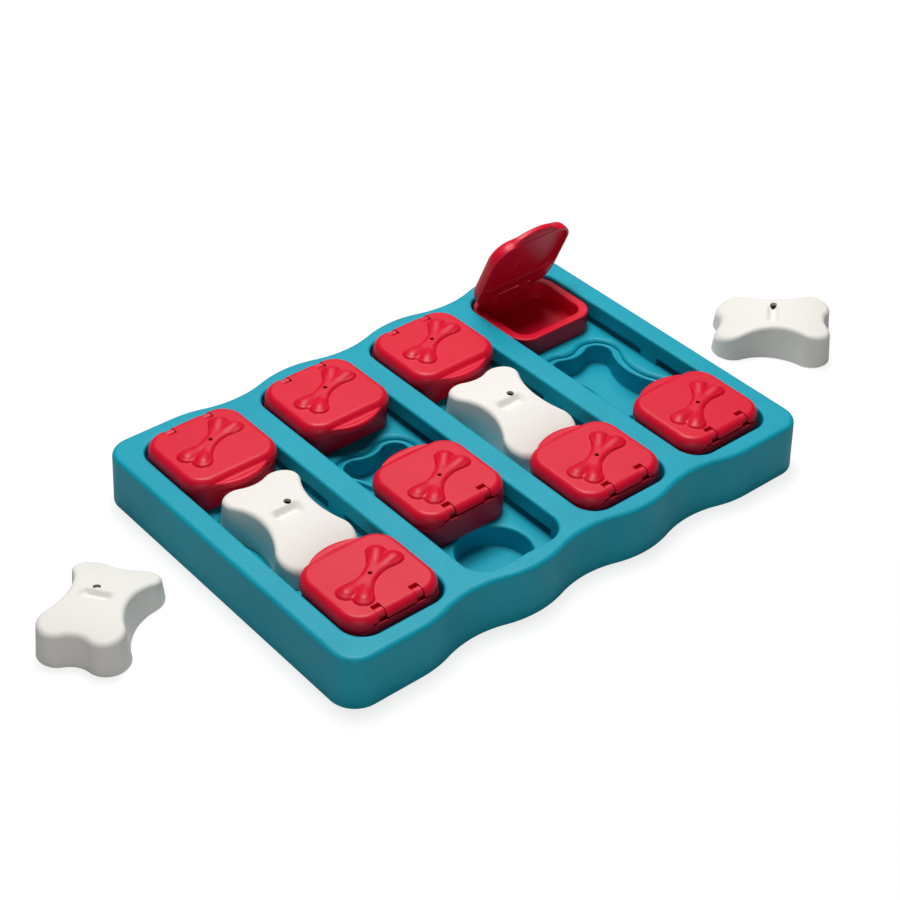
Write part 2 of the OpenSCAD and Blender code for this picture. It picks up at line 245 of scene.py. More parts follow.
class Skin:
    """A mesh in the making, in millimetres."""

    def __init__(self) -> None:
        """Starts an empty mesh."""
        self.mesh = bmesh.new()

    def ring(self, points: np.ndarray, z: float | np.ndarray) -> Ring:
        """Adds one closed row of points at height z."""
        heights = np.broadcast_to(np.asarray(z, float), (len(points),))
        return [self.mesh.verts.new((x, y, h)) for (x, y), h in zip(points, heights)]

    def band(self, low: Ring, high: Ring) -> None:
        """Joins two rows of the same length with faces.

        Args:
            low: The one row.
            high: The row above it or inside it.
        """
        for i in range(len(low)):
            j = (i + 1) % len(low)
            self.mesh.faces.new((low[i], low[j], high[j], high[i]))

    def stack(self, rows: Iterable[tuple[np.ndarray, float | np.ndarray]]) -> list[Ring]:
        """Adds rows of points and joins each to the next.

        Args:
            rows: Points and their height, for each row.

        Returns:
            The rows' vertices.
        """
        rings = [self.ring(points, z) for points, z in rows]
        for low, high in zip(rings, rings[1:]):
            self.band(low, high)
        return rings

    def sweep(self, outline: Outline, profile: Profile) -> list[Ring]:
        """Adds the surface that a profile sweeps round an outline."""
        return self.stack((outline.at(grow), z) for grow, z in profile)

    def close(self, z: float, near: Callable[[Vector], bool] = lambda p: True) -> None:
        """Fills the flat areas between open edges.

        Args:
            z: Height of the flat areas.
            near: Says whether a point belongs to the area.
        """
        bmesh.ops.remove_doubles(self.mesh, verts=self.mesh.verts, dist=SAME)
        edges = [e for e in self.mesh.edges
                 if e.is_boundary and all(abs(v.co.z - z) < 1e-3 and near(v.co) for v in e.verts)]
        bmesh.ops.triangle_fill(self.mesh, use_beauty=True, use_dissolve=False, edges=edges)

    def turned(self, matrix: Matrix) -> "Skin":
        """Moves all that is made so far."""
        bmesh.ops.transform(self.mesh, matrix=matrix, verts=self.mesh.verts)
        return self

    def ends(self, rings: list[Ring]) -> "Skin":
        """Closes a stack of rows at its first and its last row.

        Args:
            rings: The rows' vertices.

        Returns:
            The skin itself.
        """
        self.mesh.faces.new(rings[0][::-1])
        self.mesh.faces.new(rings[-1])
        return self

    def block(self, outline: Outline, low: float, high: float, edge: float = 0.0) -> "Skin":
        """Adds a closed block of an outline.

        Args:
            outline: Its outline.
            low: Height of its underside.
            high: Height of its top.
            edge: Radius of its upper and lower edges.

        Returns:
            The skin itself.
        """
        profile = [(0.0, low), (0.0, high)]
        if edge:
            profile = bend(-edge, low + edge, edge, -90, 0, 3) + bend(-edge, high - edge, edge, 0, 90, 3)
        return self.ends(self.sweep(outline, profile))

    def made(self, name: str) -> bpy.types.Object:
        """Cleans the mesh and puts it in the scene, in metres.

        Args:
            name: Name of the object.

        Returns:
            The new object.
        """
        bmesh.ops.remove_doubles(self.mesh, verts=self.mesh.verts, dist=SAME)
        bmesh.ops.dissolve_degenerate(self.mesh, edges=self.mesh.edges, dist=SAME)
        bmesh.ops.recalc_face_normals(self.mesh, faces=self.mesh.faces)
        data = bpy.data.meshes.new(name)
        bmesh.ops.transform(self.mesh, matrix=Matrix.Scale(MM, 4), verts=self.mesh.verts)
        self.mesh.to_mesh(data)
        self.mesh.free()
        piece = bpy.data.objects.new(name, data)
        bpy.context.scene.collection.objects.link(piece)
        return piece


class Join(Enum):
    """How one solid changes another."""

    ADD = "UNION"
    CUT = "DIFFERENCE"


def carve(piece: bpy.types.Object, tools: Sequence[tuple[Join, Skin]]) -> bpy.types.Object:
    """Adds solids to a piece or cuts them out of it, one after the other.

    Args:
        piece: The piece that changes.
        tools: What to do with each solid, and the solid.

    Returns:
        The same piece.
    """
    for join, skin in tools:
        tool = skin.made("tool")
        change = piece.modifiers.new("carve", "BOOLEAN")
        change.operation, change.solver, change.object = join.value, "MANIFOLD", tool
        graph = bpy.context.evaluated_depsgraph_get()
        data = bpy.data.meshes.new_from_object(piece.evaluated_get(graph))
        piece.modifiers.clear()
        old, piece.data = piece.data, data
        bpy.data.meshes.remove(old)
        bpy.data.objects.remove(tool)
    return piece


def soften(piece: bpy.types.Object, angle: float = 35.0) -> bpy.types.Object:
    """Shades a piece smoothly, with its crisp edges kept.

    Args:
        piece: The piece.
        angle: Angle in degrees between two faces from which their edge is crisp.

    Returns:
        The same piece.
    """
    data = piece.data
    data.shade_smooth()
    mesh = bmesh.new()
    mesh.from_mesh(data)
    for edge in mesh.edges:
        edge.smooth = len(edge.link_faces) == 2 and edge.calc_face_angle(0.0) < math.radians(angle)
    mesh.to_mesh(data)
    mesh.free()
    weigh = piece.modifiers.new("normals", "WEIGHTED_NORMAL")
    weigh.keep_sharp, weigh.weight = True, 100
    return piece


# ---- shaders


class Wire:
    """A number that a shader socket gives, on which Python's operators add Math nodes."""

    def __init__(self, shop: "Shop", socket: bpy.types.NodeSocket) -> None:
        """Wraps an output socket of one of the shop's nodes."""
        self.shop, self.socket = shop, socket

    def _math(self, operation: str, first: Any, second: Any) -> "Wire":
        """Adds one Math node."""
        return self.shop.node("ShaderNodeMath", {"operation": operation}, {0: first, 1: second})

    def __add__(self, other: Any) -> "Wire":
        """Adds."""
        return self._math("ADD", self, other)

    def __sub__(self, other: Any) -> "Wire":
        """Subtracts."""
        return self._math("SUBTRACT", self, other)

    def __rsub__(self, other: Any) -> "Wire":
        """Subtracts from a number."""
        return self._math("SUBTRACT", other, self)

    def __mul__(self, other: Any) -> "Wire":
        """Multiplies."""
        return self._math("MULTIPLY", self, other)

    __radd__, __rmul__ = __add__, __mul__


class Shop:
    """One material or world and the nodes that go into it."""

    def __init__(self, owner: bpy.types.Material | bpy.types.World) -> None:
        """Empties a material or world of its nodes.

        Args:
            owner: The material or world.
        """
        owner.use_nodes = True
        self.owner, self.tree = owner, owner.node_tree
        self.tree.nodes.clear()

    def node(self, kind: str, settings: dict[str, Any] | None = None,
             inputs: dict[Any, Any] | None = None, output: Any = 0) -> Wire:
        """Adds a node.

        Args:
            kind: The node's type.
            settings: Its settings, set first.
            inputs: A value or a wire for each named or numbered socket.
            output: The socket that the returned wire starts at.

        Returns:
            The wire from that socket.
        """
        made = self.tree.nodes.new(kind)
        for name, value in (settings or {}).items():
            setattr(made, name, value)
        for name, value in (inputs or {}).items():
            if isinstance(value, Wire):
                self.tree.links.new(value.socket, made.inputs[name])
            else:
                made.inputs[name].default_value = value
        return Wire(self, made.outputs[output] if made.outputs else None)

    def mix(self, share: Any, first: Any, second: Any, blend: str = "MIX") -> Wire:
        """Mixes two colours.

        Args:
            share: How much of the second, as a number or a wire.
            first: The first colour.
            second: The second colour.
            blend: The kind of mix.

        Returns:
            The mixed colour.
        """
        settings = {"data_type": "RGBA", "blend_type": blend}
        colours = {6: first, 7: second}
        full = {k: v if isinstance(v, Wire) else (*v, 1.0) for k, v in colours.items()}
        return self.node("ShaderNodeMix", settings, {0: share, **full}, output=2)

    def noise(self, where: Wire, size: float, detail: float = 2.0, rough: float = 0.5) -> Wire:
        """Adds noise about 0.5, whose features are about size millimetres across."""
        inputs = {"Vector": where, "Scale": 1 / (size * MM), "Detail": detail, "Roughness": rough}
        return self.node("ShaderNodeTexNoise", {"noise_dimensions": "3D"}, inputs)

    def ramp(self, value: Wire, low: float, high: float) -> Wire:
        """Stretches the range from low to high over 0 to 1, with soft ends."""
        settings = {"interpolation_type": "SMOOTHSTEP"}
        return self.node("ShaderNodeMapRange", settings, {0: value, 1: low, 2: high, 3: 0.0, 4: 1.0})


def linear(red: int, green: int, blue: int) -> tuple[float, float, float]:
    """Turns a colour of three bytes into linear light.

    Args:
        red: Its red, from 0 to 255.
        green: Its green.
        blue: Its blue.

    Returns:
        Its red, green and blue from 0 to 1.
    """
    def channel(value: int) -> float:
        """Turns one byte into linear light."""
        v = value / 255
        return v / 12.92 if v <= 0.04045 else ((v + 0.055) / 1.055) ** 2.4

    return channel(red), channel(green), channel(blue)


@dataclass(frozen=True)
class MouldedPlastic:
    """Moulded plastic with an eroded grain, faint blotches and a painted highlight on its convex edges.

    Attributes:
        name: Name of the material.
        colour: Colour in linear light.
        shade: Colour of the blotches.
        painted_edge_highlight: Lighter colour painted on the convex edges as a highlight.
        speckle: Strength of the grain in the colour.
        roughness: Middle roughness.
        grain: Size of the grain in millimetres.
        depth: Depth of the grain in millimetres.
        specular: Strength of the reflections.
    """

    name: str
    colour: tuple[float, float, float]
    shade: tuple[float, float, float]
    painted_edge_highlight: tuple[float, float, float]
    speckle: float
    roughness: float
    grain: float
    depth: float
    specular: float = 0.3

    def material(self) -> bpy.types.Material:
        """Makes the material.

        Returns:
            The new material.
        """
        shop = Shop(bpy.data.materials.new(self.name))
        where = shop.node("ShaderNodeTexCoord", output="Object")
        blotch = shop.ramp(shop.noise(where, 38, 3), 0.35, 0.7)
        fine = shop.noise(where, self.grain, 2, 0.6)
        coarse = shop.noise(where, self.grain * 3.2, 2, 0.5)
        dots = shop.ramp(fine, 0.3, 0.7)
        edge = shop.ramp(shop.node("ShaderNodeNewGeometry", output="Pointiness"), 0.515, 0.58)
        base = shop.mix(blotch * 0.35, self.colour, self.shade)
        dark, light = (1 - self.speckle,) * 3, (1 + self.speckle,) * 3
        grainy = shop.mix(1.0, base, shop.mix(dots, dark, light), "MULTIPLY")
        # Convex edges are mixed toward a lighter colour: a painted highlight along them.
        colour = shop.mix(edge * 0.4, grainy, self.painted_edge_highlight)
        rough = self.roughness + (dots - 0.5) * 0.12 + (blotch - 0.5) * 0.06 - edge * 0.06
        height = fine * 0.6 + coarse * 0.4
        relief = {"Strength": 1.0, "Distance": self.depth * MM, "Height": height}
        bump = shop.node("ShaderNodeBump", None, relief)
        inputs = {"Base Color": colour, "Roughness": rough, "Normal": bump}
        inputs["Specular IOR Level"] = self.specular
        surface = shop.node("ShaderNodeBsdfPrincipled", None, inputs)
        shop.node("ShaderNodeOutputMaterial", None, {"Surface": surface})
        return shop.owner


@dataclass(frozen=True)
class StudioFloor:
    """A plain white floor that keeps the object's shadow.

    Attributes:
        name: Name of the material.
        lift: Light that the camera sees added to the floor, where 1 is white.
        bounce: Share of the light that the floor throws back at the object.
    """

    name: str = "studio_floor"
    lift: float = 0.8
    bounce: float = 0.56

    def material(self) -> bpy.types.Material:
        """Makes the material.

        Returns:
            The new material.
        """
        shop = Shop(bpy.data.materials.new(self.name))
        where = shop.node("ShaderNodeTexCoord", output="Object")
        shade = shop.mix(shop.noise(where, 90, 2) * 0.3, (0.24, 0.24, 0.24), (0.23, 0.23, 0.23))
        seen = shop.node("ShaderNodeLightPath", output="Is Camera Ray")
        inputs = {"Base Color": shade, "Roughness": 0.9, "Specular IOR Level": 0.1}
        paper = shop.node("ShaderNodeBsdfPrincipled", None, inputs)
        glow = shop.node("ShaderNodeEmission", None, {"Color": (1, 1, 1, 1), "Strength": self.lift})
        lit = shop.node("ShaderNodeAddShader", None, {0: paper, 1: glow})
        card = shop.node("ShaderNodeBsdfPrincipled", None, {
            "Base Color": shop.mix(0.5, shade, (2 * self.bounce - 0.235,) * 3), "Roughness": 0.9})
        surface = shop.node("ShaderNodeMixShader", None, {0: seen, 1: card, 2: lit})
        shop.node("ShaderNodeOutputMaterial", None, {"Surface": surface})
        return shop.owner


class Finishes:
    """The finishes of the whole feeder, made once."""

    def __init__(self) -> None:
        """Makes every material."""
        self.board = MouldedPlastic(
            "turquoise_plastic", linear(8, 164, 186), linear(4, 150, 174), linear(50, 190, 206),
            speckle=0.1, roughness=0.5, grain=0.9, depth=0.07).material()
        self.red = MouldedPlastic(
            "red_plastic", linear(224, 16, 50), linear(214, 10, 42), linear(236, 56, 82),
            speckle=0.045, roughness=0.42, grain=0.65, depth=0.035).material()
        self.white = MouldedPlastic(
            "white_plastic", linear(244, 241, 234), linear(239, 236, 228), linear(248, 246, 242),
            speckle=0.035, roughness=0.58, grain=0.7, depth=0.05).material()


def paint(data: bpy.types.Mesh, material: bpy.types.Material) -> None:
    """Gives a whole mesh one material.

    Args:
        data: The mesh.
        material: Its material.
    """
    data.materials.clear()
    data.materials.append(material)
    data.polygons.foreach_set("material_index", [0] * len(data.polygons))


# ---- the board


@dataclass
class Board:
    """The turquoise board with its channels and wells.

    Attributes:
        length: Length along X.
        width: Width along Y, over the wave crests.
        height: Height above the surface.
        corner: Corner radius in plan.
        wave: Depth of the waves in the long edges.
        pitch: Spacing of the channels.
        draft: How far each side leans in over the whole height.
        edge: Radius of the upper edge.
        soft: Radius of the upper edges of channels and round wells.
        floor: Height of the channel floors.
        well: Height of the bottoms of the wells.
        groove: Depth of the groove that a bone stands in.
        slot_depth: Depth of the guide slots.
        slot_top: Height of the upper edge of the guide slots.
        pillar: Length of wall left solid in the middle of a channel.
        trough: Half width, half length and corner radius of a channel.
        round_well: Radius of a round well and its distance from the middle.
        cover: Plan of a bone cover.
        nodes: The CAD nodes that it stands for.
    """

    length: float = 330.7
    width: float = 226.9
    height: float = 33.0
    corner: float = 16.0
    wave: float = 6.2
    pitch: float = 79.0
    draft: float = 1.4
    edge: float = 3.0
    soft: float = 1.6
    floor: float = 18.0
    well: float = 4.5
    groove: float = 2.9
    slot_depth: float = 4.0
    slot_top: float = 23.2
    pillar: float = 13.6
    trough: tuple[float, float, float] = (31.5, 100.5, 14.0)
    round_well: tuple[float, float] = (21.5, 77.0)
    cover: BoneShape = COVER_PLAN
    nodes: tuple[str, ...] = (
        *(f"board_bed_{i}" for i in range(1, 5)), *(f"board_rail_{i}" for i in range(1, 6)),
        "board_end_back", "board_end_front",
    )

    def channel_x(self, number: int) -> float:
        """Returns the middle of a channel, counted from 1 at the left."""
        return (number - 2.5) * self.pitch

    def edge_wave(self, x: np.ndarray) -> tuple[np.ndarray, np.ndarray]:
        """Gives the wave of a long edge.

        Args:
            x: Places along the edge.

        Returns:
            How far the edge lies inside the crests there, and its slope.
        """
        quarter = self.pitch / 4
        radius = ((self.pitch / 2) ** 2 + self.wave**2) / (4 * self.wave)
        phase = (x / self.pitch + 1.0) % 1.0 - 0.5
        u = np.abs(phase) * self.pitch
        t = np.where(u < quarter, u, self.pitch / 2 - u)
        drop = radius - np.sqrt(radius**2 - t**2)
        slope = t / np.sqrt(radius**2 - t**2)
        inside = np.abs(x) < self.channel_x(4)
        depth = np.where(u < quarter, drop, self.wave - drop)
        return np.where(inside, depth, 0), np.where(inside, slope * np.sign(phase), 0)

    def outline(self) -> Outline:
        """Makes the board's outline.

        Returns:
            The outline, with waves in its long edges.
        """
        base = Outline.rounded(self.length, self.width, self.corner, 16, 1.65)
        points, normals = base.points.copy(), base.normals.copy()
        drop, slope = self.edge_wave(points[:, 0])
        long_edge = np.abs(normals[:, 1]) > 0.999
        sign = np.sign(points[:, 1])
        points[:, 1] -= np.where(long_edge, sign * drop, 0)
        tilt = np.stack([slope, sign], axis=1)
        tilt /= np.linalg.norm(tilt, axis=1)[:, None]
        normals = np.where(long_edge[:, None], tilt, normals)
        return Outline(points, normals)

    def channel_outline(self) -> Outline:
        """Makes a channel's outline.

        Returns:
            The outline, marked where its walls have guide slots.
        """
        half, long_half, corner = self.trough
        start, end = self.pillar / 2, long_half - corner
        ys = np.linspace(start, end, 12)
        side = [(-end, 0.0), *((-y, 1.0) for y in ys[::-1]), (-start, 0.0),
                (start, 0.0), *((y, 1.0) for y in ys), (end, 0.0)]
        points, normals, marks = [], [], []
        for sign in (1, -1):
            for y, mark in side:
                points.append((sign * half, sign * y))
                normals.append((sign, 0.0))
                marks.append(mark)
            for k in range(2):
                a = 90 * k if sign > 0 else 180 + 90 * k
                cx = (half - corner) * (sign if k == 0 else -sign)
                arc = Outline.arc(cx, sign * end, corner, a, a + 90, 14)
                points += [tuple(p) for p in arc.points]
                normals += [tuple(n) for n in arc.normals]
                marks += [0.0] * len(arc.points)
        return Outline(np.array(points), np.array(normals), np.array(marks))

    def channel(self, skin: Skin, x: float) -> None:
        """Adds one channel with its slots and wells.

        Args:
            skin: The board's mesh.
            x: The channel's middle.
        """
        wall = self.channel_outline().moved(x, 0)
        mouth = bend(self.soft, self.height - self.soft, self.soft, 90, 180, 5)
        pushed = wall.at() + self.slot_depth * wall.marks[:, None] * wall.normals
        rows = [(wall.at(g), z) for g, z in mouth]
        rows += [(wall.at(), self.slot_top), (pushed, self.slot_top), (pushed, self.floor)]
        skin.stack(rows)
        self.round_wells(skin, x)
        self.bone_well(skin, x)
        for z in (self.floor, self.well):
            skin.close(z, lambda p: abs(p.x - x) < self.pitch / 2)

    def round_wells(self, skin: Skin, x: float) -> None:
        """Adds the sides of the two round wells of a channel.

        Args:
            skin: The board's mesh.
            x: The channel's middle.
        """
        radius, distance = self.round_well
        for side in (-1, 1):
            well = Outline.circle(radius, 72).moved(x, side * distance)
            profile = bend(self.soft, self.floor - self.soft, self.soft, 90, 180, 4)
            profile += bend(-2.0, self.well + 1.2, 1.2, 0, -90, 3)
            skin.sweep(well, profile)

    def bone_well(self, skin: Skin, x: float) -> None:
        """Adds the sides of the bone shaped well of a channel, with the groove round it.

        Args:
            skin: The board's mesh.
            x: The channel's middle.
        """
        bone = self.cover.outline(12).moved(x, 0)
        foot = self.floor - self.groove
        profile = bend(6.6, self.floor - 3.2, 3.2, 90, 150, 5) + bend(3.0, foot + 0.9, 0.9, 0, -90, 3)
        profile += bend(0.8, foot + 0.3, 0.3, -90, -180, 3)
        profile += bend(-0.75, self.floor - 1.05, 1.1, 0, 180, 8)
        profile += bend(-3.0, self.well + 1.1, 1.1, 0, -90, 3)
        skin.sweep(bone, profile)

    def build(self) -> bpy.types.Object:
        """Builds the board.

        Returns:
            The board's piece.
        """
        skin = Skin()
        lean = self.draft * (self.height - self.edge) / self.height
        profile = bend(-1.2, 1.2, 1.2, -90, 0, 3)
        profile += bend(-lean - self.edge, self.height - self.edge, self.edge, 0, 90, 7)
        skin.sweep(self.outline(), profile)
        for number in range(1, 5):
            self.channel(skin, self.channel_x(number))
        skin.close(self.height)
        skin.close(0.0)
        return soften(skin.made("board_shell"), 40)

    def dress(self, piece: bpy.types.Object, finishes: Finishes) -> None:
        """Gives the board its finish and its place in the frame.

        Args:
            piece: The board's piece.
            finishes: The finishes.
        """
        paint(piece.data, finishes.board)
        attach(piece, "board")
        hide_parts(*self.nodes)


# ---- boxes


@dataclass
class Box:
    """One sliding box: a tray with a hinged lid. It is drawn with its hinge side at +Y.

    Attributes:
        width: Width along X.
        depth: Depth along Y.
        corner: Corner radius of the tray.
        foot: Height of the tray's underside.
        rim: Height of its rim.
        rim_width: Width of its rim.
        hinge_inset: Distance of the hinge line from the outer face.
        hinge_z: Height of the hinge line.
        hinge_x: Distance of a knuckle from the middle.
        slot: Width of the slot that a knuckle sits in.
        slot_back: How far the slot goes past the hinge line, to the box's inside.
        knuckle_radius: Radius of a knuckle.
        knuckle_half: Half width of a knuckle.
        pin: Radius of a hinge pin.
        swing: Radius round the hinge line inside which the lid turns.
        tab: Width and length of a guide tab, its distance from the middle and its place along Y.
        tab_top: Height of its top.
        ledge: Least distance of the tray from the hinge line, within the bridge and past it.
        bridge: Half length of the lid's hinge side that ends high, over the tray's ledge.
        lid_z: Height of the lid's lower edge.
        lid_top: Height of the lid's top.
        lid_depth: Depth of the lid.
        lid_corner: Corner radius of the lid.
        roll: Width and height of the rounding of the lid's upper edge.
        lip_reach: Reach of the finger lip past the tray.
        lip_half: Half width of the finger lip.
        relief: Plan of the small bone that is moulded on the lid.
        relief_turn: Direction of that bone from the Y axis, in degrees.
    """

    width: float = 61.0
    depth: float = 54.0
    corner: float = 13.5
    foot: float = 18.1
    rim: float = 31.0
    rim_width: float = 6.0
    hinge_inset: float = 4.7
    hinge_z: float = 36.4
    hinge_x: float = 12.2
    slot: float = 5.6
    slot_back: float = 3.8
    knuckle_radius: float = 2.9
    knuckle_half: float = 2.35
    pin: float = 1.1
    swing: float = 5.25
    tab: tuple[float, float, float, float] = (8.0, 24.0, 31.2, -1.35)
    tab_top: float = 22.9
    ledge: tuple[float, float] = (5.15, 5.75)
    bridge: float = 18.3
    lid_z: float = 31.35
    lid_top: float = 39.6
    lid_depth: float = 56.5
    lid_corner: float = 14.5
    roll: tuple[float, float] = (4.6, 6.2)
    lip_reach: float = 8.3
    lip_half: float = 20.5
    relief: BoneShape = BoneShape(10.4, 23.0, 5.6, 6.1, 2.0)
    relief_turn: float = -63.5

    @property
    def hinge_y(self) -> float:
        """Place of the hinge line along Y."""
        return self.depth / 2 - self.hinge_inset

    def on_hinge(self, x: float) -> Matrix:
        """Returns the matrix that lays a solid's height along the hinge line, at the distance x."""
        return Matrix(((0, 0, 1, x), (1, 0, 0, self.hinge_y), (0, 1, 0, self.hinge_z), (0, 0, 0, 1)))

    def rim_outline(self) -> Outline:
        """Makes the tray's outline.

        Returns:
            The outline, with a double point at each end of the high ledge.
        """
        base = Outline.rounded(self.width, self.depth, self.corner, 14, 3.0)
        points, normals = [], []
        for i in range(len(base.points)):
            here, there = base.points[i], base.points[(i + 1) % len(base.points)]
            points.append(here)
            normals.append(base.normals[i])
            side = math.copysign(self.bridge, here[0])
            if here[1] > 0 and (here[0] - side) * (there[0] - side) < 0:
                for end in (here[0], there[0]):
                    x = side + math.copysign(0.04, end - side)
                    t = (x - here[0]) / (there[0] - here[0])
                    points.append(here + t * (there - here))
                    normals.append(base.normals[i])
        return Outline(np.array(points), np.array(normals))

    def ledge_lift(self, points: np.ndarray) -> np.ndarray:
        """Gives the height of the ledge, which keeps clear of the turning lid.

        Args:
            points: Places in the tray's plan.

        Returns:
            Height over the rim at each place.
        """
        reach = np.where(np.abs(points[:, 0]) < self.bridge, *self.ledge)
        out = np.maximum(points[:, 1] - self.hinge_y, 0)
        return np.maximum(self.hinge_z - np.sqrt(np.maximum(reach**2 - out**2, 0)) - self.rim, 0)

    def knuckle(self, x: float) -> Skin:
        """Makes one hinge knuckle on its post.

        Args:
            x: Its middle along X.

        Returns:
            The knuckle, with the bore for the pin.
        """
        radius, half, front = self.knuckle_radius, self.knuckle_half, 0.4
        top = Outline.arc(0, 0, radius, -math.degrees(math.acos(front / radius)), 180, 20)
        foot = self.rim - 0.6 - self.hinge_z
        plan = np.concatenate([top.points, [[-radius, foot], [front, foot]]])
        hole = Outline.circle(self.pin + 0.05, 24).points[::-1]
        skin = Skin()
        for points in (plan, hole):
            skin.stack([(points, -half), (points, half)])
        skin.close(-half)
        skin.close(half)
        return skin.turned(self.on_hinge(x))

    def tray(self) -> bpy.types.Object:
        """Builds the tray.

        Returns:
            The tray's piece.
        """
        skin = Skin()
        outline = self.rim_outline()
        thick, soft, fine = 1.3, 1.0, 0.35
        rows = [(outline.at(g), z) for g, z in bend(-soft, self.foot + soft, soft, -90, 0, 3)]
        lift = self.ledge_lift(outline.points)
        round_off = soft + (fine - soft) * np.clip(lift / 0.6, 0, 1)
        for angle in np.radians(np.linspace(0, 90, 5)):
            inward = round_off * (1 - math.cos(angle))
            rows.append((outline.points - inward[:, None] * outline.normals,
                         self.rim + lift - round_off * (1 - math.sin(angle))))
        inside = outline.at(-thick)
        rows.append((inside, self.rim + self.ledge_lift(inside)))
        rows.append((outline.at(-thick - 0.05), self.rim))
        rings = skin.stack(rows)
        skin.mesh.faces.new(rings[0][::-1])
        lost = 2 * self.rim_width
        inner = Outline.rounded(self.width - lost, self.depth - lost, 8.0, 10, 4.0)
        profile = bend(1.3, self.rim - 1.3, 1.3, 90, 180, 4) + bend(-3.0, self.foot + 4.5, 2.5, 0, -90, 4)
        skin.mesh.faces.new(skin.sweep(inner, profile)[-1])
        skin.close(self.rim)
        piece = skin.made("tray_shell")
        tools = []
        width, length, x, y = self.tab
        for side in (-1, 1):
            tab = Outline.rounded(width, length, 0.8, 3, 20).moved(side * x, y)
            tools.append((Join.ADD, Skin().block(tab, self.foot, self.tab_top, 0.4)))
            tools.append((Join.ADD, self.knuckle(side * self.hinge_x)))
        return soften(carve(piece, tools), 35)

    def lid_rows(self) -> list[tuple[np.ndarray, np.ndarray]]:
        """Gives the rows of the lid's outer skin, from its lower edge to its flat top.

        Every row holds how far it follows the finger lip, from 0 on the lid's own line to 1 at
        the tip, its height on the plain sides and its height on the lip.

        Returns:
            Points and heights of each row.
        """
        middle = (self.depth - self.lid_depth) / 2
        plan = Outline.rounded(self.width, self.lid_depth, self.lid_corner, 16, 1.2).moved(0, middle)
        radius = (self.lip_half**2 + self.lip_reach**2) / (2 * self.lip_reach)
        x, y = plan.points[:, 0], plan.points[:, 1]
        arc = radius - self.depth / 2 - self.lip_reach - np.sqrt(np.maximum(radius**2 - x**2, 0))
        reach = np.where((y < 0) & (np.abs(x) < self.lip_half), np.minimum(arc - y, 0), 0)
        on_lip = ease(-reach / 1.6)
        width, height = self.roll
        start = self.lid_top - height
        rows = [(plan.at(g), np.full(len(x), self.lid_z + up)) for g, up in ((-0.5, 0.0), (-0.12, 0.15))]
        stops = [
            (0.0, 31.7, 31.7), (0.3, 32.3, 31.9), (0.6, 32.8, 32.3), (0.9, 33.15, 32.9),
            (0.97, 33.4, 33.25), (1.0, 33.8, 33.8), (1.0, 34.4, 34.8), (0.985, 34.8, 35.5),
            (0.94, 35.15, 36.1), (0.86, 35.45, 36.5), (0.75, 35.7, 36.72), (0.62, 35.95, 36.72),
            (0.48, 36.2, 36.6), (0.34, 36.45, 36.48), (0.2, 36.7, 36.5), (0.1, 36.95, 36.75),
            (0.03, 37.25, 37.2), (0.0, 37.6, 37.6),
        ]
        stops += [(0.0, start + height * math.sin(a), 0.0) for a in np.radians(np.linspace(46, 90, 9))]
        for share, side_z, lip_z in stops:
            rise = min(max((side_z - start) / height, 0.0), 1.0)
            points = plan.at(-width * (1 - math.sqrt(1 - rise**2)))
            lip = on_lip if lip_z else 0.0
            rows.append((points + share * np.stack([np.zeros_like(reach), reach], axis=1),
                         side_z + (lip_z - side_z) * lip * np.ones_like(x)))
        return rows

    def relief_height(self, points: np.ndarray, outline: np.ndarray) -> np.ndarray:
        """Gives the height of the small moulded bone, with a round shaft and a knob at each lobe.

        Args:
            points: Places in the bone's own plan.
            outline: The bone's outline.

        Returns:
            Height over the lid at each place.
        """
        x, y = self.relief.half_width - self.relief.lobe, self.relief.half_length - self.relief.lobe
        along, shaft, knob = np.abs(points[:, 1]), 1.75, 1.05
        crest = shaft - 0.4 * np.exp(-((points[:, 0] / 1.9) ** 2)) * ease((along - 6) / 5)
        for i in (-1, 1):
            for j in (-1, 1):
                root = np.array([i * 1.6, j * 8.0])
                arm = np.array([i * x, j * y]) - root
                share = np.clip((points - root) @ arm / (arm @ arm), 0, 1)
                far = np.linalg.norm(points - root - share[:, None] * arm, axis=1)
                crest = np.maximum(crest, shaft + knob * ease(share) - (far / 3.6) ** 2)
        inside = np.linalg.norm(points[:, None] - outline[None], axis=2).min(axis=1)
        t = np.clip(inside / 3.0, 0, 1)
        return crest * np.sqrt(1 - (1 - t) ** 2)

    def relief_skin(self) -> Skin:
        """Makes the small bone that is moulded on the lid.

        Returns:
            The bone, which reaches a little into the lid.
        """
        outline = self.relief.outline(12)
        fine = self.relief.outline(40).points
        skin = Skin()
        rows = [(outline.at(0.55), self.lid_top - 1.0), (outline.at(0.55), self.lid_top - 0.02),
                (outline.at(0.2), self.lid_top + 0.1), (outline.at(0.02), self.lid_top + 0.3)]
        for scale in np.concatenate([[0.995, 0.985, 0.97], np.linspace(0.95, 0.05, 24)]):
            points = outline.points * scale
            rows.append((points, self.lid_top + np.maximum(self.relief_height(points, fine), 0.3)))
        return skin.ends(skin.stack(rows)).turned(Matrix.Rotation(math.radians(self.relief_turn), 4, "Z"))

    def swing_room(self, half: float) -> Skin:
        """Makes the room that the lid's hinge side needs to turn over the rim.

        Args:
            half: Half its length along X.

        Returns:
            The room, to be cut out of the lid.
        """
        reach, low = self.swing, 1.5
        arc = Outline.arc(0, 0, reach, -90, -math.degrees(math.asin(low / reach)), 10).points
        plan = np.concatenate([arc, [[PAST, -low], [PAST, -PAST], [0.0, -PAST]]])[::-1]
        skin = Skin()
        return skin.ends(skin.stack([(plan, -half), (plan, half)])).turned(self.on_hinge(0.0))

